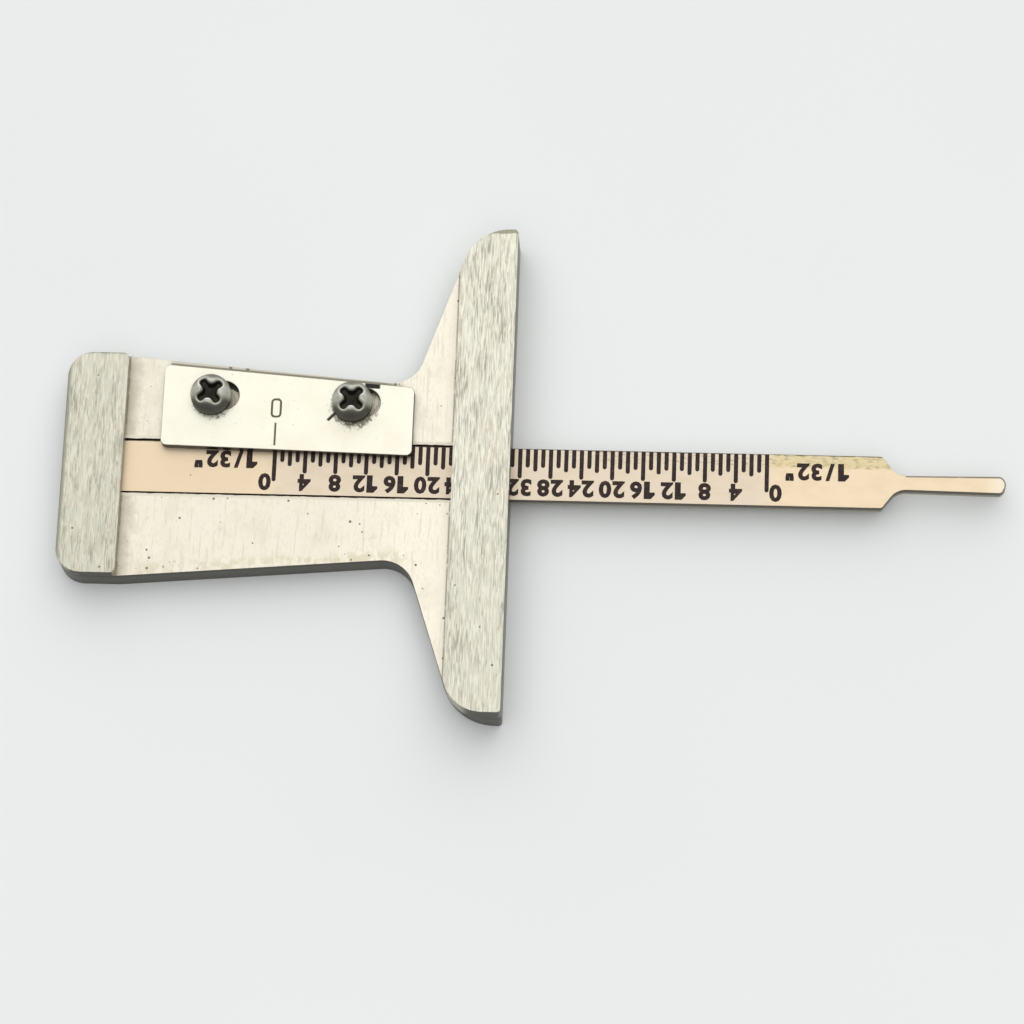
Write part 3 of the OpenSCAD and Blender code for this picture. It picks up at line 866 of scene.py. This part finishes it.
def make_scale(finish):
    """Ticks and numbers on the rule, counted from both ends towards the middle."""
    ticks = bmesh.new()
    numbers = bmesh.new()
    top = RULE_HIGH.y - TICK_EDGE
    half = TICK_W / 2
    for i in range(DIVISIONS + 1):
        x = ZERO_X - i * DIVISION
        count = min(i, DIVISIONS - i)
        low = top - tick_length(count) + half
        outline = [(x + half, top), (x - half, top)] + arc((x, low), half, 180, 360, TICK_END_STEPS)
        extruded(ticks, outline, RULE_HIGH.z, RULE_HIGH.z + INK_T)
        if count % NUMBER_STEP == 0:
            shift = 0.0 if count else math.copysign(ZERO_SHIFT, x)
            add_text(numbers, str(count), x + shift, DIGIT_BASE_Y)
    from_zero = LABEL_GAP + len(LABEL) * DIGIT_PITCH / 2
    for middle in (ZERO_X + from_zero, INDEX_LINE_X - from_zero):
        add_text(numbers, LABEL, middle, LABEL_BASE_Y)
    for name, bm in (("scale_ticks", ticks), ("scale_numbers", numbers)):
        bmesh.ops.remove_doubles(bm, verts=bm.verts, dist=INK_WELD)
        bmesh.ops.recalc_face_normals(bm, faces=bm.faces)
        add_piece(name, bm, finish, "rule")


def make_index_mark(finish):
    """A line and a thin nought on the index plate, which the scale is read against."""
    bm = bmesh.new()
    low_z, high_z = INDEX_HIGH.z, INDEX_HIGH.z + INK_T
    left, right = INDEX_LINE_X - MARK_LINE_W / 2, INDEX_LINE_X + MARK_LINE_W / 2
    near, far = MARK_LINE_FROM, MARK_LINE_TO
    extruded(bm, [(left, near), (right, near), (right, far), (left, far)], low_z, high_z)
    loops = []
    for inset in (0, MARK_STROKE):
        outline = rounded_box((INDEX_LINE_X, MARK_ZERO_Y), MARK_ZERO_W - 2 * inset, MARK_ZERO_H - 2 * inset,
                              MARK_ZERO_R - inset)
        loops += [[bm.verts.new((x, y, z)) for x, y in outline] for z in (low_z, high_z)]
    outer_low, outer_high, inner_low, inner_high = loops
    for i in range(len(outer_low)):
        after = (i + 1) % len(outer_low)
        for first, second in ((outer_low, outer_high), (outer_high, inner_high),
                              (inner_high, inner_low), (inner_low, outer_low)):
            bm.faces.new((first[i], first[after], second[after], second[i]))
    bmesh.ops.recalc_face_normals(bm, faces=bm.faces)
    add_piece("index_mark", bm, finish, "index")


def arm_distance(along, across):
    """Distance of a place from the outline of one pair of the recess's arms, negative inside it."""
    x = abs(along) - RECESS_REACH + RECESS_END_R
    y = abs(across) - RECESS_W / 2 + RECESS_END_R
    return min(max(x, y), 0.0) + math.hypot(max(x, 0.0), max(y, 0.0)) - RECESS_END_R


def joined(first, second):
    """Distance from two forms that run into each other with a round."""
    blend = max(RECESS_PETAL_R - abs(first - second), 0.0) / RECESS_PETAL_R
    return min(first, second) - blend * blend * RECESS_PETAL_R / 4


def recess_depth(x, y, turn):
    """How deep the cross recess is at a place from the screw's axis."""
    along = x * math.cos(turn) + y * math.sin(turn)
    across = y * math.cos(turn) - x * math.sin(turn)
    from_axis = math.hypot(x, y)
    arms = joined(arm_distance(along, across), arm_distance(across, along))
    inside = -joined(arms, from_axis - RECESS_CORE_R)
    softened_inside = (inside + math.hypot(inside, RECESS_LIP)) / 2
    floor = RECESS_DEPTH + (RECESS_TIP_DEPTH - RECESS_DEPTH) * min(from_axis / RECESS_REACH, 1.0)
    return min(softened_inside * RECESS_WALL_SLOPE, floor)


def make_screw(name, finish):
    """A pan-head screw, turned from a row of rings, whose top is pressed in by the cross recess."""
    low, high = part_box(name)
    axis_x, axis_y = (low.x + high.x) / 2, (low.y + high.y) / 2
    head_r = (high.x - low.x) / 2
    crown_r = head_r - HEAD_ROUND_R
    seat = high.z - HEAD_H
    rings = [(SHANK_R - SHANK_CHAMFER, low.z), (SHANK_R, low.z + SHANK_CHAMFER), (SHANK_R, seat),
             (head_r - HEAD_SEAT_ROUND, seat), (head_r, seat + HEAD_SEAT_ROUND)]
    first_top = len(rings)
    rings += arc((crown_r, high.z - HEAD_ROUND_R), HEAD_ROUND_R, 0, 90, ROUND_STEPS)
    rings += [(crown_r * (1 - i / CROWN_STEPS), high.z) for i in range(1, CROWN_STEPS)]
    bm = bmesh.new()
    hollow = bm.verts.layers.float.new("hollow")

    def vertex(x, y, z, on_top):
        depth = recess_depth(x, y, RECESS_TURN[name]) if on_top else 0.0
        vert = bm.verts.new((axis_x + x, axis_y + y, z - depth))
        vert[hollow] = depth / RECESS_DEPTH
        return vert

    turns = [2 * math.pi * i / SCREW_STEPS for i in range(SCREW_STEPS)]
    loops = [[vertex(r * math.cos(t), r * math.sin(t), z, i >= first_top) for t in turns]
             for i, (r, z) in enumerate(rings)]
    end, tip = vertex(0, 0, low.z, False), vertex(0, 0, high.z, True)
    for i in range(SCREW_STEPS):
        after = (i + 1) % SCREW_STEPS
        bm.faces.new((end, loops[0][after], loops[0][i]))
        bm.faces.new((tip, loops[-1][i], loops[-1][after]))
        for below, above in zip(loops, loops[1:]):
            bm.faces.new((below[i], below[after], above[after], above[i]))
    for face in bm.faces:
        face.smooth = True
    for loop in loops[:first_top]:
        for i in range(SCREW_STEPS):
            bm.edges.get((loop[i], loop[(i + 1) % SCREW_STEPS])).smooth = False
    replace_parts(add_piece(name + "_shape", bm, finish, "frame"), name)


def make_floor():
    """The table top, level with the gauge's back."""
    bpy.ops.mesh.primitive_plane_add(size=FLOOR_SIZE, location=(0, 0, PLATE_LOW.z))
    floor = bpy.context.object
    floor.name = "floor"
    paint(floor, floor_finish())


def make_light():
    """A dome whose light falls off with the angle from its bright side, and faster to the left and right."""
    world = bpy.data.worlds.new("dome")
    bpy.context.scene.world = world
    world.use_nodes = True
    dome = NodeTree(world.node_tree)
    way = dome.node("ShaderNodeTexCoord").outputs["Generated"]
    facing = dome.node("ShaderNodeVectorMath", operation="DOT_PRODUCT")
    dome.feed(facing.inputs[0], way)
    dome.feed(facing.inputs[1], Vector(LIGHT_WAY).normalized())
    right = dome.parts(way)["X"]
    side = dome.math("MULTIPLY", right, -DOME_SIDE)
    level = dome.math("MULTIPLY_ADD", side, right, facing.outputs["Value"])
    background = dome.tree.nodes["Background"]
    dome.feed(background.inputs["Color"], (1, 1, 1, 1))
    dome.feed(background.inputs["Strength"], dome.fade(level, *DOME_FADE, DOME_DIM, DOME_BRIGHT))


def make_camera():
    """A camera that is aimed at a place on the table and then rolled about its line of sight."""
    data = bpy.data.cameras.new("camera")
    data.sensor_width = CAMERA_SENSOR_MM
    data.lens = CAMERA_LENS_MM
    data.clip_start = CAMERA_NEAR
    camera = bpy.data.objects.new("camera", data)
    bpy.context.scene.collection.objects.link(camera)
    aim = (CAMERA_AIM - CAMERA_PLACE).to_track_quat("-Z", "Y").to_matrix().to_4x4()
    camera.matrix_world = Matrix.Translation(CAMERA_PLACE) @ aim @ Matrix.Rotation(CAMERA_ROLL, 4, "Z")
    bpy.context.scene.camera = camera


def paint_small_pieces():
    """Finishes for the pieces that are shown as the frame has them: rivets, stop pin and spring."""
    rivet = plain_finish("rivet_finish", light=steel(205, 200, 188), dark=steel(180, 176, 164),
                         size=(0.3, 1.5, 0.3), smooth=0.35)
    spring = plain_finish("spring_finish", light=steel(150, 152, 158), dark=steel(120, 122, 130),
                          size=(1.5, 0.3, 0.3), smooth=0.3)
    for name, node in frame["nodes"].items():
        if "rivet" in name or name == "stop_pin":
            paint(node, rivet)
    paint(frame["nodes"]["friction_spring"], spring)


def main():
    """Dresses the gauge piece by piece, and sets it on the table under the light and the camera."""
    bpy.context.scene.view_settings.view_transform = "Standard"
    softened("body_plate", "plate", PLATE_ROUND, plate_finish(), "frame")
    softened("foot_bar", "foot", FOOT_ROUND, foot_finish(), "frame")
    softened("rear_bar", "rear", REAR_ROUND, rear_finish(), "frame")
    softened("depth_rule", "rule_blade", RULE_ROUND, rule_finish(), "rule", flare_probe)
    softened("index_plate", "index", INDEX_ROUND, index_finish(), "index", reach_far_edge)
    screw = screw_finish()
    for name in SCREWS:
        make_screw(name, screw)
    paint_small_pieces()
    make_scale(ink_finish("scale_ink", fresh=shown(46, 34, 31), worn=shown(72, 58, 50)))
    make_index_mark(ink_finish("mark_ink", fresh=shown(104, 96, 74), worn=shown(130, 120, 96)))
    make_floor()
    make_light()
    make_camera()


main()
